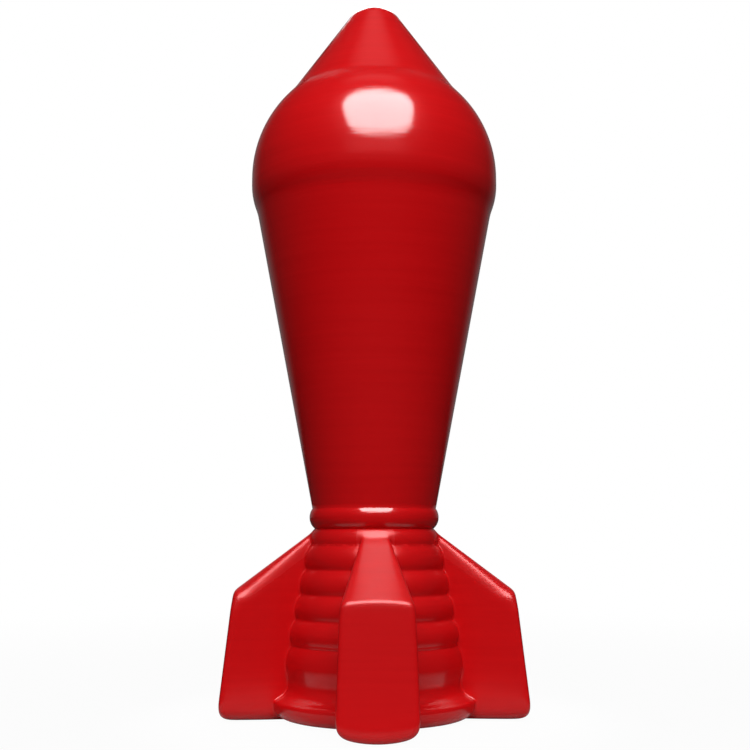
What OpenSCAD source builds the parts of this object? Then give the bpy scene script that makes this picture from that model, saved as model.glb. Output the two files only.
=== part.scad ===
// Rocket-shaped plug: one soft solid moulding, drawn as the zones that its shape is made of.
// Every zone above the fins is a turned shape about Z. The four fins stand on Z = 0.

/* [Nose and head] */
// Height from the feet to the tip
total_h = 220.4; // [205:0.1:235]
// Radius of the rounded tip
tip_r = 10; // [8:0.5:12]
// Height of the crease where the nose cone meets the head
nose_base_z = 190.3; // [189:0.1:191]
// Radius of that crease
nose_base_r = 26.1; // [25:0.1:27]
// Radius of the head at its widest
head_r = 38.1; // [37.8:0.1:39]
// Height where the line of the shoulder would meet the widest cylinder
shoulder_z = 177.4; // [176.5:0.1:178.5]
// Rounding of the shoulder
shoulder_round = 36; // [30:0.5:36]
// Height where the line of the head's underside would meet it
hip_z = 157.3; // [157:0.1:158]
// Rounding of the head's underside
hip_round = 26; // [20:0.5:26]

/* [Body] */
// Height of the crease under the head
body_top_z = 152.3; // [151.5:0.1:152.5]
// Radius at that crease
body_top_r = 36.2; // [35.8:0.1:36.5]
// Height where the body ends on the collar
body_end_z = 61.2; // [60:0.1:62]
// Radius where the body ends on the collar
body_end_r = 18.6; // [18:0.1:19]

/* [Collar] */
// Height of the groove between the two rings
collar_groove_z = 55.2; // [54.5:0.1:56]
// Radius in that groove
collar_groove_r = 17.8; // [17:0.1:18]
// How far each ring stands out of its grooves
ring_rise = 1.2; // [0.6:0.1:1.6]

/* [Ribbed neck] */
// Height of the groove under the lower ring
neck_top_z = 50.5; // [49:0.1:51]
// Radius in that groove
neck_top_r = 18.8; // [18.2:0.1:19.2]
// Height of the lowest groove between two ribs
neck_low_z = 21.7; // [21:0.1:23]
// Radius in the lowest groove
neck_low_r = 25.4; // [24.5:0.1:26]
// Ribs between those two grooves
rib_count = 4; // [3:1:5]
// How far each rib stands out of its grooves
rib_rise = 1.3; // [0.6:0.1:1.6]
// Height of the waist under the last rib
waist_z = 12.5; // [12:0.1:13]
// Radius of the waist
waist_r = 25; // [24:0.1:25.5]

/* [Base flange] */
// Radius of the flange
flange_r = 30; // [29:0.1:31]
// Height of the flange's upper edge
flange_top_z = 7.6; // [7:0.1:8]
// Height of the flange's underside above the feet
flange_low_z = 1.2; // [0.6:0.1:1.6]

/* [Fins] */
// Number of fins
fin_count = 4; // [4:1:4]
// Reach of a foot from the axis
foot_reach = 45.4; // [43:0.1:47]
// Reach of a fin at its upper corner
corner_reach = 41.9; // [40:0.1:43]
// Height of a fin's upper corner
corner_z = 36.4; // [34:0.1:38]
// Radius where the sloping edge starts on the collar
slope_top_r = 18.6; // [18.6:0.1:19]
// Height where the sloping edge starts on the collar
slope_top_z = 54.2; // [53:0.1:54.5]
// Radius at which the two flanks of a fin would meet
wedge_apex_r = 6.7; // [6:0.1:9]
// Half thickness of a fin for each millimetre beyond that radius
wedge_rate = 0.305; // [0.28:0.005:0.32]
// Rounding of a fin's upright outer edges
edge_r = 2.2; // [1:0.1:2.5]
// Rounding of a foot's outer end
foot_r = 2.8; // [1:0.1:3]
// Where the foot ends under the flange
foot_inner_r = 24; // [22:0.5:26]

/* [Hidden] */
$fn = 96;
arc_step = 7;
bead_steps = 10;
nose_crease_round = 20;
body_crease_round = 7;
waist_flare = 0.8;
waist_drop = 3.6;
waist_round = 4;
flange_edge_round = 1.2;
flange_under_round = 3;
past_axis = 1;
slab_r = 60;
fin_inner_r = 10;
foot_lap = 1;
moulding_red = [0.74, 0.05, 0.06];

rib_pitch_z = (neck_top_z - neck_low_z) / rib_count;
rib_pitch_r = (neck_low_r - neck_top_r) / rib_count;

// The nose flank runs from its crease to where it touches the tip ball
tip_drop = total_h - tip_r - nose_base_z;
nose_flank_tilt = acos(tip_r / norm([nose_base_r, tip_drop])) + atan2(-tip_drop, nose_base_r);
tip_corner_r = tip_r * tan((90 - nose_flank_tilt) / 2);

function unit(v) = v / norm(v);

// Points of the arc that rounds corner b, between its neighbours a and c
function corner_arc(a, b, c, radius) =
    let (
        to_a = unit(a - b),
        to_c = unit(c - b),
        half = acos(to_a * to_c) / 2,
        centre = b + unit(to_a + to_c) * radius / sin(half),
        spoke = b + to_a * radius / tan(half) - centre,
        turn = sign(to_c.x * to_a.y - to_c.y * to_a.x) * (180 - 2 * half),
        from = atan2(spoke.y, spoke.x),
        steps = max(2, ceil(abs(turn) / arc_step))
    )
    [for (i = [0:steps]) centre + radius * [cos(from + turn * i / steps), sin(from + turn * i / steps)]];

function flat_point(corner) = [corner.x, corner.y];

// A closed outline from corners that are each [x, y, rounding radius]
function rounded(corners) =
    let (count = len(corners))
    [for (i = [0:count - 1])
        each (corners[i].z == 0
            ? [flat_point(corners[i])]
            : corner_arc(
                flat_point(corners[(i + count - 1) % count]),
                flat_point(corners[i]),
                flat_point(corners[(i + 1) % count]),
                corners[i].z
            ))];

// Corners of a bead that bulges by rise out of the straight line between two grooves, the first one included
function bead(from, to, rise) =
    let (
        along = unit(to - from),
        outward = [-along.y, along.x]
    )
    [for (i = [0:bead_steps - 1])
        let (
            share = i / bead_steps,
            spot = from + (to - from) * share + outward * rise * sin(180 * share)
        )
        [spot.x, spot.y, 0]];

function neck_groove(i) = [neck_top_r + rib_pitch_r * i, neck_top_z - rib_pitch_z * i];

// The whole turned outline as corners of [radius, height, rounding], from the tip to the underside.
// It runs a little past the axis, where each zone trims it.
core_corners = concat(
    [
        [-past_axis, total_h, 0],
        [tip_corner_r, total_h, tip_r],
        [nose_base_r, nose_base_z, nose_crease_round],
        [head_r, shoulder_z, shoulder_round],
        [head_r, hip_z, hip_round],
        [body_top_r, body_top_z, body_crease_round]
    ],
    bead([body_end_r, body_end_z], [collar_groove_r, collar_groove_z], ring_rise),
    bead([collar_groove_r, collar_groove_z], neck_groove(0), ring_rise),
    [for (i = [0:rib_count - 1]) each bead(neck_groove(i), neck_groove(i + 1), rib_rise)],
    bead(neck_groove(rib_count), [waist_r, waist_z], rib_rise),
    [
        [waist_r, waist_z, 0],
        [waist_r + waist_flare, waist_z - waist_drop, waist_round],
        [flange_r, flange_top_z, flange_edge_round],
        [flange_r, flange_low_z, flange_under_round],
        [-past_axis, flange_low_z, 0]
    ]
);

// The part of the turned shape between two heights
module turned_zone(low_z, high_z) {
    rotate_extrude()
        intersection() {
            polygon(rounded(core_corners));
            translate([0, low_z]) square([slab_r, high_z - low_z]);
        }
}

module fin_side() {
    polygon(rounded([
        [fin_inner_r, flange_low_z + foot_lap, 0],
        [foot_inner_r, flange_low_z + foot_lap, 0],
        [foot_inner_r, 0, 0],
        [foot_reach, 0, foot_r],
        [corner_reach, corner_z, edge_r],
        [slope_top_r, slope_top_z, 0],
        [fin_inner_r, slope_top_z, 0]
    ]));
}

module fin_plan() {
    half_out = (foot_reach - wedge_apex_r) * wedge_rate;
    polygon(rounded([
        [wedge_apex_r, 0, 0],
        [foot_reach, -half_out, edge_r],
        [foot_reach, half_out, edge_r]
    ]));
}

// One fin pointing along +X, cut to the turned shape that it stands against
module fin(turn) {
    color(moulding_red)
        rotate([0, 0, turn])
            difference() {
                intersection() {
                    linear_extrude(height = slope_top_z) fin_plan();
                    rotate([90, 0, 0])
                        linear_extrude(height = foot_reach, center = true) fin_side();
                }
                turned_zone(flange_low_z, body_end_z);
            }
}

module nose_cone() { color(moulding_red) turned_zone(nose_base_z, total_h); }
module head() { color(moulding_red) turned_zone(body_top_z, nose_base_z); }
module body() { color(moulding_red) turned_zone(body_end_z, body_top_z); }
module collar() { color(moulding_red) turned_zone(neck_top_z, body_end_z); }
module ribbed_neck() { color(moulding_red) turned_zone(waist_z, neck_top_z); }
module base_flange() { color(moulding_red) turned_zone(flange_low_z, waist_z); }
module fin_front() { fin(-90); }
module fin_right() { fin(0); }
module fin_back() { fin(90); }
module fin_left() { fin(180); }

nose_cone();
head();
body();
collar();
ribbed_neck();
base_flange();
fin_front();
fin_right();
fin_back();
fin_left();
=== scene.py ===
"""A rocket-shaped soft plug: one glossy red moulding with a turned body and four fins.

The moulding is made as two closed skins that meet in the groove between the collar's two rings:
a turned upper part, and a finned foot whose surface is a rule of distances.
"""

import math

import bpy
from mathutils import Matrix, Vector


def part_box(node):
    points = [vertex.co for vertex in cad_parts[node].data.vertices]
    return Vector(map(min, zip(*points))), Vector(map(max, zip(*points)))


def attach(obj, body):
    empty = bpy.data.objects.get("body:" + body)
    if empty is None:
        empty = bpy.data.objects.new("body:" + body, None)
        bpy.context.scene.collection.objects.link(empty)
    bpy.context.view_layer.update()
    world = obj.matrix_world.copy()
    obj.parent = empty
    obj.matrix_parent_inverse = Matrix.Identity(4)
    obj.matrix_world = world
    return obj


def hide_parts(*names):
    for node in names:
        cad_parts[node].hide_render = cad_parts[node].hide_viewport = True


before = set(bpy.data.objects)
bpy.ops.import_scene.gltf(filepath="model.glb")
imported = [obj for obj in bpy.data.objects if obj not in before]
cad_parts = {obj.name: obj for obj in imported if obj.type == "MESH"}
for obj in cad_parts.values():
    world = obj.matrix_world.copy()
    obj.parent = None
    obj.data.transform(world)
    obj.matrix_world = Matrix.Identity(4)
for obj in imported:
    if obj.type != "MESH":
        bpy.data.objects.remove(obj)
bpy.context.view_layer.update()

MM = 0.001

# ---------------------------------------------------------------- sizes, in millimetres

def zone(node):
    """Lowest height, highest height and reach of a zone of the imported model."""
    low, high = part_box(node)
    return low.z / MM, high.z / MM, high.x / MM


NOSE_BASE, TIP, NOSE_BASE_R = zone("nose_cone")
HEAD_R = zone("head")[2]
BODY_END, BODY_TOP, BODY_TOP_R = zone("body")
NECK_TOP = zone("collar")[0]
WAIST = zone("ribbed_neck")[0]
FLANGE_LOW, _, FLANGE_R = zone("base_flange")

# head and body
TIP_ROUND = 10
SHOULDER = 177.4
SHOULDER_ROUND = 36
HIP = 157.3
HIP_ROUND = 20
NOSE_CREASE_ROUND = 20
BODY_CREASE_ROUND = 18
BODY_END_R = 18.6

# collar: two rings with a groove between them, where the two skins meet
GROOVE = 55.2
GROOVE_R = 17.8
RING_RISE = 1.2
LOWER_RING_RISE = 0.75
SEAM_LAP = 0.8

# ribbed neck, and the flange below it
NECK_TOP_R = 18.9
NECK_LOW = 21.7
NECK_LOW_R = 24.6
RIBS = 4
RIB_RISE = 1.3
RIB_DEPTH = 3
RIB_END_SINK = 1.5
STEM_R = 17
STEM_LOW = 3
STEM_TOP = 57
WAIST_R = 25.4
WAIST_TOP = 15
WAIST_FILLET = 2
FLANGE_TOP = 6.0

# fins: a face that leans in, a corner, and a slope up to the collar
CORNER_REACH = 41.4
CORNER = 36.4
SIDE_TOP_LIFT = 1.0
SIDE_CORNER_LIFT = 0.8
FOOT_REACH = 45.4
SLOPE_TOP_R = 18.6
SLOPE_TOP = 53.2
WEDGE_APEX = 4.5
WEDGE_RATE = 0.286
FOOT_INNER = 24
FOOT_INNER_ROUND = 1
EDGE_CHANGE_START = -4
EDGE_CHANGE_END = 3

# fineness of the skins
TURN_SEGMENTS = 288
OUTLINE_STEP = 1.2
BEAD_STEPS = 20
CELL = 0.42
CELL_MARGIN = 1.5
FLAT_MERGE = 0.0005
GRADIENT_STEP = 0.02


# ---------------------------------------------------------------- node trees written as expressions

class Value:
    """One output of a node. Arithmetic on values adds Math nodes to their tree."""

    def __init__(self, net, socket):
        self.net = net
        self.socket = socket

    def math(self, operation, *others):
        return self.net.math(operation, self, *others)

    def __add__(self, other):
        return self.math("ADD", other)

    def __sub__(self, other):
        return self.math("SUBTRACT", other)

    def __mul__(self, other):
        return self.math("MULTIPLY", other)

    def __truediv__(self, other):
        return self.math("DIVIDE", other)

    def __neg__(self):
        return self.math("MULTIPLY", -1)

    def __abs__(self):
        return self.math("ABSOLUTE")

    def __radd__(self, other):
        return self.net.math("ADD", other, self)

    def __rsub__(self, other):
        return self.net.math("SUBTRACT", other, self)

    def __rmul__(self, other):
        return self.net.math("MULTIPLY", other, self)


class Net:
    """A shader or geometry node tree."""

    def __init__(self, tree):
        self.tree = tree

    def node(self, kind, settings, sockets):
        """Adds a node, with settings and with a value or link for each named socket. Returns its outputs."""
        made = self.tree.nodes.new(kind)
        for name, setting in settings.items():
            setattr(made, name, setting)
        for name, value in sockets.items():
            self.connect(self.socket(made, name), value)
        return {socket.name: Value(self, socket) for socket in made.outputs if socket.enabled}

    def socket(self, made, name):
        if isinstance(name, int):
            return made.inputs[name]
        return next(socket for socket in made.inputs if socket.name == name and socket.enabled)

    def connect(self, socket, value):
        if isinstance(value, Value):
            self.tree.links.new(value.socket, socket)
        else:
            socket.default_value = value

    def math(self, operation, *values):
        return self.node("ShaderNodeMath", {"operation": operation}, dict(enumerate(values)))["Value"]

    def vector(self, operation, *values):
        outputs = self.node("ShaderNodeVectorMath", {"operation": operation}, dict(enumerate(values)))
        return outputs.get("Vector") or outputs["Value"]

    def scaled(self, vector, factor):
        sockets = {0: vector, "Scale": factor}
        return self.node("ShaderNodeVectorMath", {"operation": "SCALE"}, sockets)["Vector"]

    def combine(self, x, y, z):
        return self.node("ShaderNodeCombineXYZ", {}, {"X": x, "Y": y, "Z": z})["Vector"]

    def separate(self, vector):
        parts = self.node("ShaderNodeSeparateXYZ", {}, {"Vector": vector})
        return parts["X"], parts["Y"], parts["Z"]

    def hypot(self, a, b):
        return (a * a + b * b).math("SQRT")

    def lower(self, a, b):
        return self.math("MINIMUM", a, b)

    def higher(self, a, b):
        return self.math("MAXIMUM", a, b)

    def blended(self, a, b, reach):
        """Joins two solids with a fillet."""
        return self.math("SMOOTH_MIN", a, b, reach)

    def trimmed(self, a, b, reach):
        """Keeps what two solids share, with a rounded edge."""
        return self.math("SMOOTH_MAX", a, b, reach)

    def ramp(self, value, start, end):
        """Rises smoothly from 0 to 1 as a value goes from start to end."""
        return self.node("ShaderNodeMapRange", {"interpolation_type": "SMOOTHSTEP"}, {
            "Value": value, "From Min": start, "From Max": end, "To Min": 0.0, "To Max": 1.0,
        })["Result"]


def shader_net(owner):
    """The emptied shader tree of a material or a world."""
    owner.use_nodes = True
    owner.node_tree.nodes.clear()
    return Net(owner.node_tree)


def new_geometry_tree(name, inputs, outputs):
    """A geometry node tree with these sockets, each given as name: (type, value)."""
    tree = bpy.data.node_groups.new(name, "GeometryNodeTree")
    for label, (kind, value) in inputs.items():
        socket = tree.interface.new_socket(label, in_out="INPUT", socket_type="NodeSocket" + kind)
        if value is not None:
            socket.default_value = value
    for label, kind in outputs.items():
        tree.interface.new_socket(label, in_out="OUTPUT", socket_type="NodeSocket" + kind)
    return tree


def grown(name, tree, values, seed_mesh):
    """Runs a geometry tree on a mesh and returns the result as a plain mesh object."""
    host = bpy.data.objects.new(name + "_host", seed_mesh)
    bpy.context.scene.collection.objects.link(host)
    modifier = host.modifiers.new("grow", "NODES")
    modifier.node_group = tree
    for item in tree.interface.items_tree:
        if item.item_type == "SOCKET" and item.in_out == "INPUT" and item.name in values:
            modifier[item.identifier] = values[item.name]
    evaluated = host.evaluated_get(bpy.context.evaluated_depsgraph_get())
    mesh = bpy.data.meshes.new_from_object(evaluated)
    mesh.name = name
    host.modifiers.remove(modifier)
    bpy.data.objects.remove(host)
    piece = bpy.data.objects.new(name, mesh)
    bpy.context.scene.collection.objects.link(piece)
    return piece


# ---------------------------------------------------------------- outlines

def corner_arc(before, corner, after, radius, step):
    """Points of the arc that rounds a corner of an outline in the plane."""
    bx, by = before[0] - corner[0], before[1] - corner[1]
    ax, ay = after[0] - corner[0], after[1] - corner[1]
    back = math.atan2(by, bx)
    ahead = math.atan2(ay, ax)
    half = ((ahead - back + math.pi) % (2 * math.pi) - math.pi) / 2
    middle = back + half
    away = radius / math.sin(abs(half))
    cx = corner[0] + away * math.cos(middle)
    cy = corner[1] + away * math.sin(middle)
    turn = math.copysign(math.pi - 2 * abs(half), -half)
    start = middle + math.pi - turn / 2
    count = max(3, math.ceil(abs(turn) / step))
    return [
        (cx + radius * math.cos(start + turn * i / count), cy + radius * math.sin(start + turn * i / count))
        for i in range(count + 1)
    ]


def rounded(corners, step=math.radians(2)):
    """An open outline from corners that are each (radius, height, rounding)."""
    points = [corners[0][:2]]
    for before, corner, after in zip(corners, corners[1:], corners[2:]):
        if corner[2]:
            points += corner_arc(before, corner, after, corner[2], step)
        else:
            points.append(corner[:2])
    points.append(corners[-1][:2])
    return points


def bead_arc(start, end, rise, count):
    """Points between two grooves on the arc that bulges by rise out of their straight line."""
    centre, radius = bead_circle(start, end, rise)
    first = math.atan2(start[1] - centre[1], start[0] - centre[0])
    last = math.atan2(end[1] - centre[1], end[0] - centre[0])
    return [
        (
            centre[0] + radius * math.cos(first + (last - first) * i / count),
            centre[1] + radius * math.sin(first + (last - first) * i / count),
        )
        for i in range(1, count)
    ]


def bead_circle(start, end, rise):
    """Centre and radius of the circle through two grooves that bulges by rise between them."""
    chord = math.dist(start, end)
    radius = (chord * chord / 4 + rise * rise) / (2 * rise)
    along = ((end[0] - start[0]) / chord, (end[1] - start[1]) / chord)
    outward = (-along[1], along[0])
    middle = ((start[0] + end[0]) / 2, (start[1] + end[1]) / 2)
    centre = (middle[0] - outward[0] * (radius - rise), middle[1] - outward[1] * (radius - rise))
    return centre, radius


def fill_in(points, longest):
    """Adds points so that no step of an outline is longer than this."""
    filled = [points[0]]
    for start, end in zip(points, points[1:]):
        count = max(1, math.ceil(math.dist(start, end) / longest))
        filled += [
            (start[0] + (end[0] - start[0]) * i / count, start[1] + (end[1] - start[1]) * i / count)
            for i in range(1, count + 1)
        ]
    return filled


def upper_outline():
    """Radius and height down the turned part, from the tip to where it sinks into the foot."""
    slope = math.atan2(TIP - TIP_ROUND - NOSE_BASE, NOSE_BASE_R)
    span = math.hypot(NOSE_BASE_R, TIP - TIP_ROUND - NOSE_BASE)
    tilt = math.acos(TIP_ROUND / span) - slope
    tip_corner = TIP_ROUND * math.tan((math.pi / 2 - tilt) / 2)
    corners = [
        (0, TIP, 0),
        (tip_corner, TIP, TIP_ROUND),
        (NOSE_BASE_R, NOSE_BASE, NOSE_CREASE_ROUND),
        (HEAD_R, SHOULDER, SHOULDER_ROUND),
        (HEAD_R, HIP, HIP_ROUND),
        (BODY_TOP_R, BODY_TOP, BODY_CREASE_ROUND),
        (BODY_END_R, BODY_END, 0),
    ]
    outline = fill_in(rounded(corners), OUTLINE_STEP)
    outline += bead_arc((BODY_END_R, BODY_END), (GROOVE_R, GROOVE), RING_RISE, BEAD_STEPS)
    outline += [(GROOVE_R, GROOVE), (GROOVE_R - SEAM_LAP, GROOVE - SEAM_LAP), (0, GROOVE - SEAM_LAP)]
    return outline


# ---------------------------------------------------------------- turned upper part

def turning_tree():
    """Turns a wire outline about Z into a closed skin."""
    inputs = {
        "Outline": ("Geometry", None),
        "Points": ("Int", 2),
        "Segments": ("Int", 64),
        "Material": ("Material", None),
    }
    tree = new_geometry_tree("turned_skin", inputs, {"Skin": "Geometry"})
    net = Net(tree)
    given = net.node("NodeGroupInput", {}, {})
    grid = net.node(
        "GeometryNodeMeshGrid", {}, {"Vertices X": given["Segments"] + 1, "Vertices Y": given["Points"]}
    )
    index = net.node("GeometryNodeInputIndex", {}, {})["Index"]
    ring = index.math("MODULO", given["Points"])
    angle = (index / given["Points"]).math("FLOOR") * (2 * math.pi) / given["Segments"]
    place = net.node("GeometryNodeInputPosition", {}, {})["Position"]
    spot = net.node(
        "GeometryNodeSampleIndex",
        {"data_type": "FLOAT_VECTOR", "domain": "POINT"},
        {"Geometry": given["Outline"], "Value": place, "Index": ring},
    )["Value"]
    reach, _, height = net.separate(spot)
    turned = net.combine(reach * angle.math("COSINE"), reach * angle.math("SINE"), height)
    skin = grid["Mesh"]
    skin = net.node("GeometryNodeSetPosition", {}, {"Geometry": skin, "Position": turned})["Geometry"]
    skin = net.node("GeometryNodeMergeByDistance", {}, {"Geometry": skin, "Distance": 0.01 * MM})["Geometry"]
    skin = net.node("GeometryNodeFlipFaces", {}, {"Mesh": skin})["Mesh"]
    finish_skin(net, skin, given)
    return tree


def finish_skin(net, skin, given):
    """Smooth shading, real geometry and the material, as the tree's output."""
    skin = net.node("GeometryNodeSetShadeSmooth", {}, {"Geometry": skin, "Shade Smooth": True})["Geometry"]
    skin = net.node("GeometryNodeRealizeInstances", {}, {"Geometry": skin})["Geometry"]
    finish = {"Geometry": skin, "Material": given["Material"]}
    skin = net.node("GeometryNodeSetMaterial", {}, finish)["Geometry"]
    net.node("NodeGroupOutput", {}, {"Skin": skin})


def make_upper_part(material):
    outline = upper_outline()
    wire = bpy.data.meshes.new("outline")
    points = [(reach * MM, 0, height * MM) for reach, height in outline]
    wire.from_pydata(points, [(i, i + 1) for i in range(len(points) - 1)], [])
    values = {"Points": len(points), "Segments": TURN_SEGMENTS, "Material": material}
    piece = grown("turned_upper_part", turning_tree(), values, wire)
    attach(piece, "root")
    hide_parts("nose_cone", "head", "body", "collar")
    return piece


# ---------------------------------------------------------------- finned foot

def foot_sizes():
    """The named sizes of the finned foot, in millimetres and radians."""
    neck = (NECK_LOW_R - NECK_TOP_R, NECK_LOW - NECK_TOP)
    pitch = math.hypot(*neck) / RIBS
    rib_arc = (pitch * pitch / 4 + RIB_RISE * RIB_RISE) / (2 * RIB_RISE)
    ring_spot, ring_arc = bead_circle((GROOVE_R, GROOVE), (NECK_TOP_R, NECK_TOP), LOWER_RING_RISE)
    last_spot, last_arc = bead_circle((NECK_LOW_R, NECK_LOW), (WAIST_R, WAIST), RIB_RISE)
    return {
        "Neck Top Reach": NECK_TOP_R,
        "Neck Top Height": NECK_TOP,
        "Neck Tilt": math.atan2(neck[0], -neck[1]),
        "Rib Pitch": pitch,
        "Rib Arc": rib_arc,
        "Rib Rise": RIB_RISE,
        "Ring Reach": ring_spot[0],
        "Ring Height": ring_spot[1],
        "Ring Arc": ring_arc,
        "Last Rib Reach": last_spot[0],
        "Last Rib Height": last_spot[1],
        "Last Rib Arc": last_arc,
        "Waist Reach": WAIST_R,
        "Flange Reach": FLANGE_R,
        "Flange Top": FLANGE_TOP,
        "Flange Underside": FLANGE_LOW,
        "Flange Tilt": 0.4,
        "Corner Reach": CORNER_REACH,
        "Corner Height": CORNER,
        "Face Tilt": math.atan2(FOOT_REACH - CORNER_REACH, CORNER),
        "Slope Tilt": math.atan2(SLOPE_TOP - CORNER, CORNER_REACH - SLOPE_TOP_R),
        "Side Corner Lift": SIDE_CORNER_LIFT,
        "Side Lift Rate": (SIDE_TOP_LIFT - SIDE_CORNER_LIFT) / (CORNER_REACH - SLOPE_TOP_R),
        "Wedge Apex": WEDGE_APEX,
        "Wedge Rate": WEDGE_RATE,
        "Sole Inner End": FOOT_INNER,
        "Sole Crown": 0.015,
        "Slope Crown": 0.006,
        "Ridge Round": 1.2,
        "Edge Round": 3.2,
        "Slope Edge Share": 0.45,
        "Side Edge Share": 0.4,
        "Sole Round": 6.0,
        "Flange Edge Round": 1.5,
        "Groove Fillet": 1.0,
        "Flare Fillet": 5.0,
        "Fin Fillet": 1.0,
        "Top Cut": GROOVE + SEAM_LAP,
    }


def distance_tree(sizes):
    """A group that gives the distance, in millimetres, from a point to the surface of the finned foot."""
    inputs = {"Position": ("Vector", None)}
    inputs.update({name: ("Float", size) for name, size in sizes.items()})
    tree = new_geometry_tree("foot_distance", inputs, {"Distance": "Float"})
    net = Net(tree)
    size = net.node("NodeGroupInput", {}, {})
    x, y, z = net.separate(net.scaled(size["Position"], 1 / MM))
    reach = net.hypot(x, y)
    core = turned_core(net, size, reach, z)
    fins = four_fins(net, size, abs(x), abs(y), z)
    whole = net.blended(core, fins, size["Fin Fillet"])
    net.node("NodeGroupOutput", {}, {"Distance": net.higher(whole, slab(z, 0, size["Top Cut"]))})
    return tree


def slab(height, low, high):
    """Distance out of the layer between two heights."""
    return abs(height - (low + high) / 2) - (high - low) / 2


def bead(net, size, name, reach, height):
    """Distance to a named bead, whose cross-section is a circle."""
    return net.hypot(reach - size[name + " Reach"], height - size[name + " Height"]) - size[name + " Arc"]


def turned_core(net, size, reach, height):
    """Ribbed neck, lower collar ring, last rib and flange."""
    sine, cosine = size["Neck Tilt"].math("SINE"), size["Neck Tilt"].math("COSINE")
    out, down = reach - size["Neck Top Reach"], size["Neck Top Height"] - height
    along = out * sine + down * cosine
    proud = out * cosine - down * sine
    half_pitch = size["Rib Pitch"] / 2
    off_crest = net.math("PINGPONG", along + half_pitch, half_pitch)
    depth = proud + size["Rib Arc"] - size["Rib Rise"]
    rib = net.hypot(off_crest, depth) - size["Rib Arc"]
    next_rib = net.hypot(size["Rib Pitch"] - off_crest, depth) - size["Rib Arc"]
    ribs = net.lower(net.blended(rib, next_rib, size["Groove Fillet"]), proud + RIB_DEPTH)
    neck = ribs + RIB_END_SINK * net.higher(slab(along, 0, size["Rib Pitch"] * RIBS), 0)

    ring = bead(net, size, "Ring", reach, height)
    last_rib = bead(net, size, "Last Rib", reach, height)
    stem = net.higher(reach - STEM_R, slab(height, STEM_LOW, STEM_TOP))
    waist = net.higher(reach - size["Waist Reach"], slab(height, STEM_LOW, WAIST_TOP))
    tilt = size["Flange Tilt"]
    rim = reach - size["Flange Reach"]
    top = (height - size["Flange Top"]) * tilt.math("COSINE") + rim * tilt.math("SINE")
    flange = net.trimmed(rim, top, size["Flange Edge Round"])
    flange = net.trimmed(flange, size["Flange Underside"] - height, size["Sole Round"])

    core = net.blended(neck, ring, size["Groove Fillet"])
    core = net.blended(core, last_rib, size["Groove Fillet"])
    core = net.lower(core, stem)
    lower = net.blended(waist, flange, size["Flare Fillet"])
    return net.blended(core, lower, WAIST_FILLET)


def four_fins(net, size, across_x, across_y, height):
    """One fin's rule, met by all four because the larger of |x| and |y| runs out along every fin.

    The slopes of the left and right fins stand a little higher than those of the front and back ones.
    """
    reach = net.higher(across_x, across_y)
    side = net.lower(across_x, across_y)
    out, up = reach - size["Corner Reach"], height - size["Corner Height"]
    face = out * size["Face Tilt"].math("COSINE") + up * size["Face Tilt"].math("SINE")
    on_side = across_x.math("GREATER_THAN", across_y)
    lift = on_side * (size["Side Corner Lift"] - out * size["Side Lift Rate"])
    slope = out * size["Slope Tilt"].math("SINE") + (up - lift) * size["Slope Tilt"].math("COSINE")
    slope = slope + side * side * size["Slope Crown"]
    half_width = (reach - size["Wedge Apex"]) * size["Wedge Rate"]
    flank = (side - half_width) * math.cos(math.atan(WEDGE_RATE))
    sole = side * side * size["Sole Crown"] - height
    inner_end = (size["Sole Inner End"] - reach - height) * math.sqrt(0.5)
    fin = net.trimmed(face, slope, size["Ridge Round"])
    on_slope = net.ramp(slope - face, EDGE_CHANGE_START, EDGE_CHANGE_END)
    share = size["Slope Edge Share"] + on_side * size["Side Edge Share"]
    edge = size["Edge Round"] + (half_width * share - size["Edge Round"]) * on_slope
    fin = net.trimmed(fin, flank, edge)
    fin = net.trimmed(fin, sole, size["Sole Round"])
    return net.trimmed(fin, inner_end, FOOT_INNER_ROUND)


def foot_tree(sizes):
    """Meshes the finned foot on a fine grid, then draws every point onto the true surface."""
    measure = distance_tree(sizes)
    inputs = {name: ("Float", size) for name, size in sizes.items()}
    inputs.update({
        "Low": ("Vector", None), "High": ("Vector", None),
        "Cells Across": ("Int", 100), "Cells Up": ("Int", 60),
        "Material": ("Material", None),
    })
    tree = new_geometry_tree("finned_foot", inputs, {"Skin": "Geometry"})
    net = Net(tree)
    given = net.node("NodeGroupInput", {}, {})
    named = {name: given[name] for name in sizes}

    def distance(position):
        sockets = {"Position": position, **named}
        return net.node("GeometryNodeGroup", {"node_tree": measure}, sockets)["Distance"]

    position = net.node("GeometryNodeInputPosition", {}, {})["Position"]
    across = given["Cells Across"]
    block = net.node("GeometryNodeVolumeCube", {}, {
        "Density": -distance(position), "Background": -1.0, "Min": given["Low"], "Max": given["High"],
        "Resolution X": across, "Resolution Y": across, "Resolution Z": given["Cells Up"],
    })["Volume"]
    skin = net.node("GeometryNodeVolumeToMesh", {"resolution_mode": "GRID"}, {
        "Volume": block, "Threshold": 0.0, "Adaptivity": FLAT_MERGE,
    })["Mesh"]
    for _ in range(2):
        here, gradient = slope_of(net, position, distance)
        steepness = net.vector("DOT_PRODUCT", gradient, gradient)
        correction = net.scaled(gradient, -MM * here / steepness)
        skin = net.node("GeometryNodeSetPosition", {}, {"Geometry": skin, "Offset": correction})["Geometry"]
    _, gradient = slope_of(net, position, distance)
    skin = net.node("GeometryNodeSetShadeSmooth", {}, {"Geometry": skin, "Shade Smooth": True})["Geometry"]
    skin = net.node("GeometryNodeSetMeshNormal", {"mode": "FREE", "domain": "POINT"}, {
        "Mesh": skin, "Custom Normal": net.vector("NORMALIZE", gradient),
    })["Mesh"]
    finish_skin(net, skin, given)
    return tree


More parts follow.
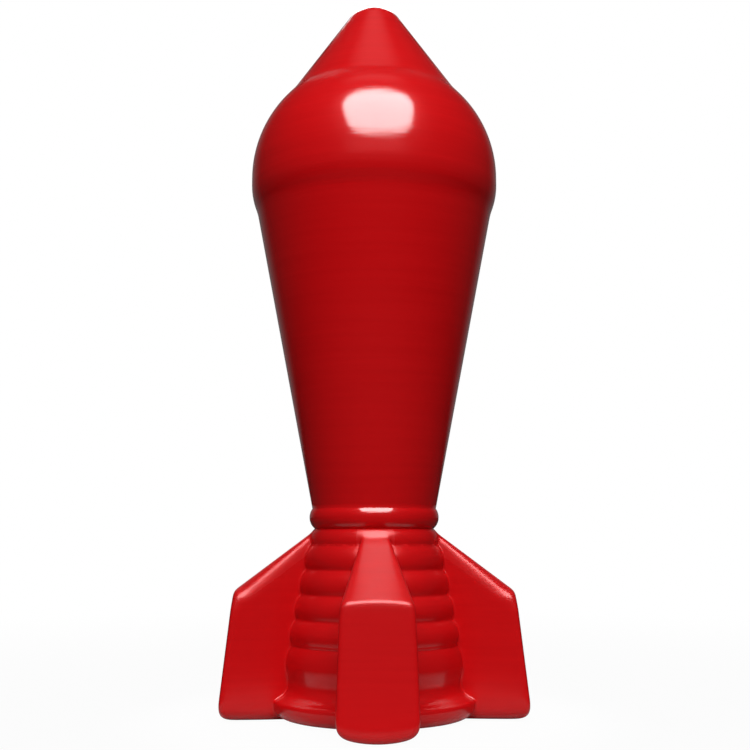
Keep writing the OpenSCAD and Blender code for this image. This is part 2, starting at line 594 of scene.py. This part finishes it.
def slope_of(net, position, distance):
    """The distance at a point, in millimetres, and the direction in which it grows."""
    here = distance(position)
    step = GRADIENT_STEP * MM
    moves = [net.vector("ADD", position, offset) for offset in ((step, 0, 0), (0, step, 0), (0, 0, step))]
    return here, net.combine(*[(distance(move) - here) / GRADIENT_STEP for move in moves])


def make_finned_foot(material):
    sizes = foot_sizes()
    span = FOOT_REACH + CELL_MARGIN
    low, high = -CELL_MARGIN, GROOVE + SEAM_LAP + CELL_MARGIN
    values = {
        **sizes,
        "Low": (-span * MM, -span * MM, low * MM), "High": (span * MM, span * MM, high * MM),
        "Cells Across": round(2 * span / CELL), "Cells Up": round((high - low) / CELL),
        "Material": material,
    }
    piece = grown("finned_foot", foot_tree(sizes), values, bpy.data.meshes.new("seed"))
    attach(piece, "root")
    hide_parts("ribbed_neck", "base_flange", "fin_front", "fin_right", "fin_back", "fin_left")
    return piece


# ---------------------------------------------------------------- finish

FINE_STREAKS = (60, 60, 2600)
BROAD_STREAKS = (25, 25, 700)
FINE_SHARE = 0.9
DEEP_RED = (0.475, 0.0022, 0.0035, 1)
BRIGHT_RED = (0.55, 0.0036, 0.0052, 1)


def glossy_red_vinyl(name, line_depth, roughness, gloss, slope_roughness):
    """Glossy soft plastic with faint level lines from turning its mould.

    The lines are line_depth metres deep. The fins' slopes are rougher by slope_roughness.
    """
    material = bpy.data.materials.new(name)
    net = shader_net(material)
    place = net.node("ShaderNodeTexCoord", {}, {})["Object"]
    fine = streaks(net, place, FINE_STREAKS)
    broad = streaks(net, place, BROAD_STREAKS)
    lines = fine * FINE_SHARE + broad * (1 - FINE_SHARE)
    bump = net.node("ShaderNodeBump", {}, {
        "Height": lines, "Strength": 1.0, "Distance": line_depth,
    })["Normal"]
    base = net.node("ShaderNodeMix", {"data_type": "RGBA"}, {
        "Factor": broad, "A": DEEP_RED, "B": BRIGHT_RED,
    })["Result"]
    shader = net.node("ShaderNodeBsdfPrincipled", {}, {
        "Base Color": base,
        "Roughness": roughness + fine * 0.08 + slope_roughness * fin_slopes(net, place),
        "IOR": 1.5,
        "Specular IOR Level": gloss,
        "Coat Weight": 0.1,
        "Coat Roughness": 0.32,
        "Normal": bump,
    })["BSDF"]
    net.node("ShaderNodeOutputMaterial", {}, {"Surface": shader})
    return material


def fin_slopes(net, place):
    """1 on the slopes of the four fins and their edges, fading to 0 over a few millimetres."""
    x, y, z = net.separate(net.scaled(place, 1 / MM))
    reach, side = net.higher(abs(x), abs(y)), net.lower(abs(x), abs(y))
    tilt = math.atan2(SLOPE_TOP - CORNER, CORNER_REACH - SLOPE_TOP_R)
    height = (reach - CORNER_REACH) * math.sin(tilt) + (z - CORNER) * math.cos(tilt)
    beside = side - (reach - WEDGE_APEX) * WEDGE_RATE
    on_fin = net.ramp(beside, 2.5, 0.8)
    near_slope = net.ramp(height, -5.0, -3.0)
    above_corner = net.ramp(z, CORNER - 4, CORNER + 1)
    return on_fin * near_slope * above_corner


def streaks(net, place, scale):
    """Noise drawn out into level streaks, scaled this much along each axis."""
    place = net.node("ShaderNodeMapping", {}, {"Vector": place, "Scale": scale})["Vector"]
    outputs = net.node("ShaderNodeTexNoise", {"noise_dimensions": "3D"}, {
        "Vector": place, "Scale": 1.0, "Detail": 2.0, "Roughness": 0.5,
    })
    return outputs.get("Fac") or outputs["Factor"]


# ---------------------------------------------------------------- stage

def rectangle(name, width, depth):
    """A flat level mesh about its own centre."""
    x, y = width / 2, depth / 2
    mesh = bpy.data.meshes.new(name)
    mesh.from_pydata([(-x, -y, 0), (x, -y, 0), (x, y, 0), (-x, y, 0)], [], [(0, 1, 2, 3)])
    return mesh


def make_floor():
    """A floor that the camera sees plain white, barely greyer near the moulding. In the gloss and the bounce
    light it is a painted pale pool close to the moulding, where it throws back more light, and painted dark
    further off.
    """
    mesh = rectangle("floor", 8.0, 8.0)
    floor = bpy.data.objects.new("floor", mesh)
    bpy.context.scene.collection.objects.link(floor)
    material = bpy.data.materials.new("pale_floor")
    net = shader_net(material)
    seen = net.node("ShaderNodeLightPath", {}, {})["Is Camera Ray"]
    place = net.node("ShaderNodeTexCoord", {}, {})["Object"]
    away = net.node("ShaderNodeVectorMath", {"operation": "LENGTH"}, {0: place})["Value"]
    # painted reflection and bounce: the floor's paint is pale close to the moulding and nearly black further
    # off; the camera sees the white glow instead
    painted_pool_level = 0.03 + 0.5 * net.ramp(away, 0.085, 0.05)
    paint = net.node("ShaderNodeBsdfDiffuse", {}, {"Color": net.combine(painted_pool_level, painted_pool_level, painted_pool_level)})["BSDF"]
    glow = net.node("ShaderNodeEmission", {}, {"Color": (1, 1, 1, 1), "Strength": 1.0})["Emission"]
    glow_share = seen * (1 - 0.03 * net.ramp(away, 0.5, 0.1))
    shader = net.node("ShaderNodeMixShader", {}, {0: glow_share, 1: paint, 2: glow})["Shader"]
    net.node("ShaderNodeOutputMaterial", {}, {"Surface": shader})
    mesh.materials.append(material)


def make_camera():
    """A close eye, a quarter of the way up the moulding, that looks slightly up."""
    data = bpy.data.cameras.new("camera")
    data.sensor_width = 36
    data.lens = 54.18
    look_up, turn = math.radians(7.793), math.radians(-1.348)
    camera = bpy.data.objects.new("camera", data)
    camera.location = (-0.0078, -0.34285, 0.055)
    camera.rotation_euler = (math.pi / 2 + look_up, 0, turn)
    bpy.context.scene.collection.objects.link(camera)
    bpy.context.scene.camera = camera


def face_centre(thing, centre, elevation, azimuth, distance):
    """Puts a light or panel at a distance from a centre, facing it. Degrees; azimuth 0 is in front."""
    thing.rotation_euler = (math.radians(90 - elevation), 0, math.radians(azimuth))
    thing.location = centre + thing.rotation_euler.to_matrix().col[2] * distance
    bpy.context.scene.collection.objects.link(thing)


def make_softbox(name, width, height, radiance, **place):
    """A rectangle of soft light that doesn't show in the gloss."""
    data = bpy.data.lights.new(name, "AREA")
    data.shape = "RECTANGLE"
    data.size = width
    data.size_y = height
    data.energy = radiance * math.pi * width * height
    light = bpy.data.objects.new(name, data)
    face_centre(light, **place)
    light.visible_glossy = False


def make_glow(name, width, height, radiance, full, **place):
    """A panel that only shows in the gloss.

    Its corners are round. From full, a share of its half width, it fades to nothing at its edge.
    """
    mesh = rectangle(name, width, height)
    panel = bpy.data.objects.new(name, mesh)
    face_centre(panel, **place)
    panel.visible_camera = False
    panel.visible_diffuse = False
    panel.visible_shadow = False
    material = bpy.data.materials.new(name)
    net = shader_net(material)
    u, v, _ = net.separate(net.node("ShaderNodeTexCoord", {}, {})["Object"])
    across, up = abs(u) / (width / 2), abs(v) / (height / 2)
    squareness = 3.5
    edge = (across.math("POWER", squareness) + up.math("POWER", squareness)).math("POWER", 1 / squareness)
    mask = net.ramp(edge, 1.0, full)
    light = net.node("ShaderNodeEmission", {}, {
        "Color": (1, 1, 1, 1), "Strength": mask * radiance,
    })["Emission"]
    net.node("ShaderNodeOutputMaterial", {}, {"Surface": light})
    mesh.materials.append(material)
    return panel


def make_lights():
    """A soft light in front and above with its glow, a weaker pair behind, and a faint strip overhead."""
    low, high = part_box("head")
    head = (low + high) / 2
    make_softbox(
        "softbox", 0.65, 0.62, radiance=5.8,
        centre=head, elevation=38, azimuth=0, distance=0.7,
    )
    glow = make_glow(
        "softbox_glow", 0.69, 0.65, radiance=14.5, full=0.92,
        centre=head + Vector((0.04, 0, 0)), elevation=50, azimuth=0, distance=0.7,
    )
    glow.rotation_euler.rotate_axis("Z", math.radians(5))
    make_glow(
        "ceiling_glow", 0.7, 0.24, radiance=0.36, full=0.0,
        centre=head, elevation=94, azimuth=0, distance=0.88,
    )
    make_softbox(
        "back_softbox", 0.9, 0.7, radiance=3.4,
        centre=head, elevation=30, azimuth=180, distance=0.9,
    )
    make_glow(
        "back_glow", 0.4, 0.36, radiance=7.0, full=0.6,
        centre=head, elevation=50, azimuth=180, distance=0.7,
    )


def make_room():
    """A white backdrop that is a dark room in the gloss, paler behind, and a weak fill for all else."""
    world = bpy.data.worlds.new("studio")
    bpy.context.scene.world = world
    world.cycles.sampling_method = "NONE"
    net = shader_net(world)
    path = net.node("ShaderNodeLightPath", {}, {})
    direction = net.node("ShaderNodeTexCoord", {}, {})["Generated"]
    _, depth, _ = net.separate(direction)
    room = 0.02 + 0.15 * net.ramp(depth, 0.62, 0.98) + 0.03 * net.ramp(depth, -0.7, -0.98)
    fill = 0.22
    level = path["Is Camera Ray"] + (1 - path["Is Camera Ray"]) * (
        path["Is Glossy Ray"] * room + (1 - path["Is Glossy Ray"]) * fill
    )
    glow = net.node("ShaderNodeBackground", {}, {"Color": (1, 1, 1, 1), "Strength": level})["Background"]
    net.node("ShaderNodeOutputWorld", {}, {"Surface": glow})


make_camera()
make_lights()
make_room()
make_floor()
make_upper_part(glossy_red_vinyl(
    "lined_red_vinyl", line_depth=0.000034, roughness=0.06, gloss=0.5, slope_roughness=0.0,
))
make_finned_foot(glossy_red_vinyl(
    "smooth_red_vinyl", line_depth=0.0000008, roughness=0.14, gloss=0.33, slope_roughness=0.15,
))
bpy.context.scene.view_settings.view_transform = "Standard"
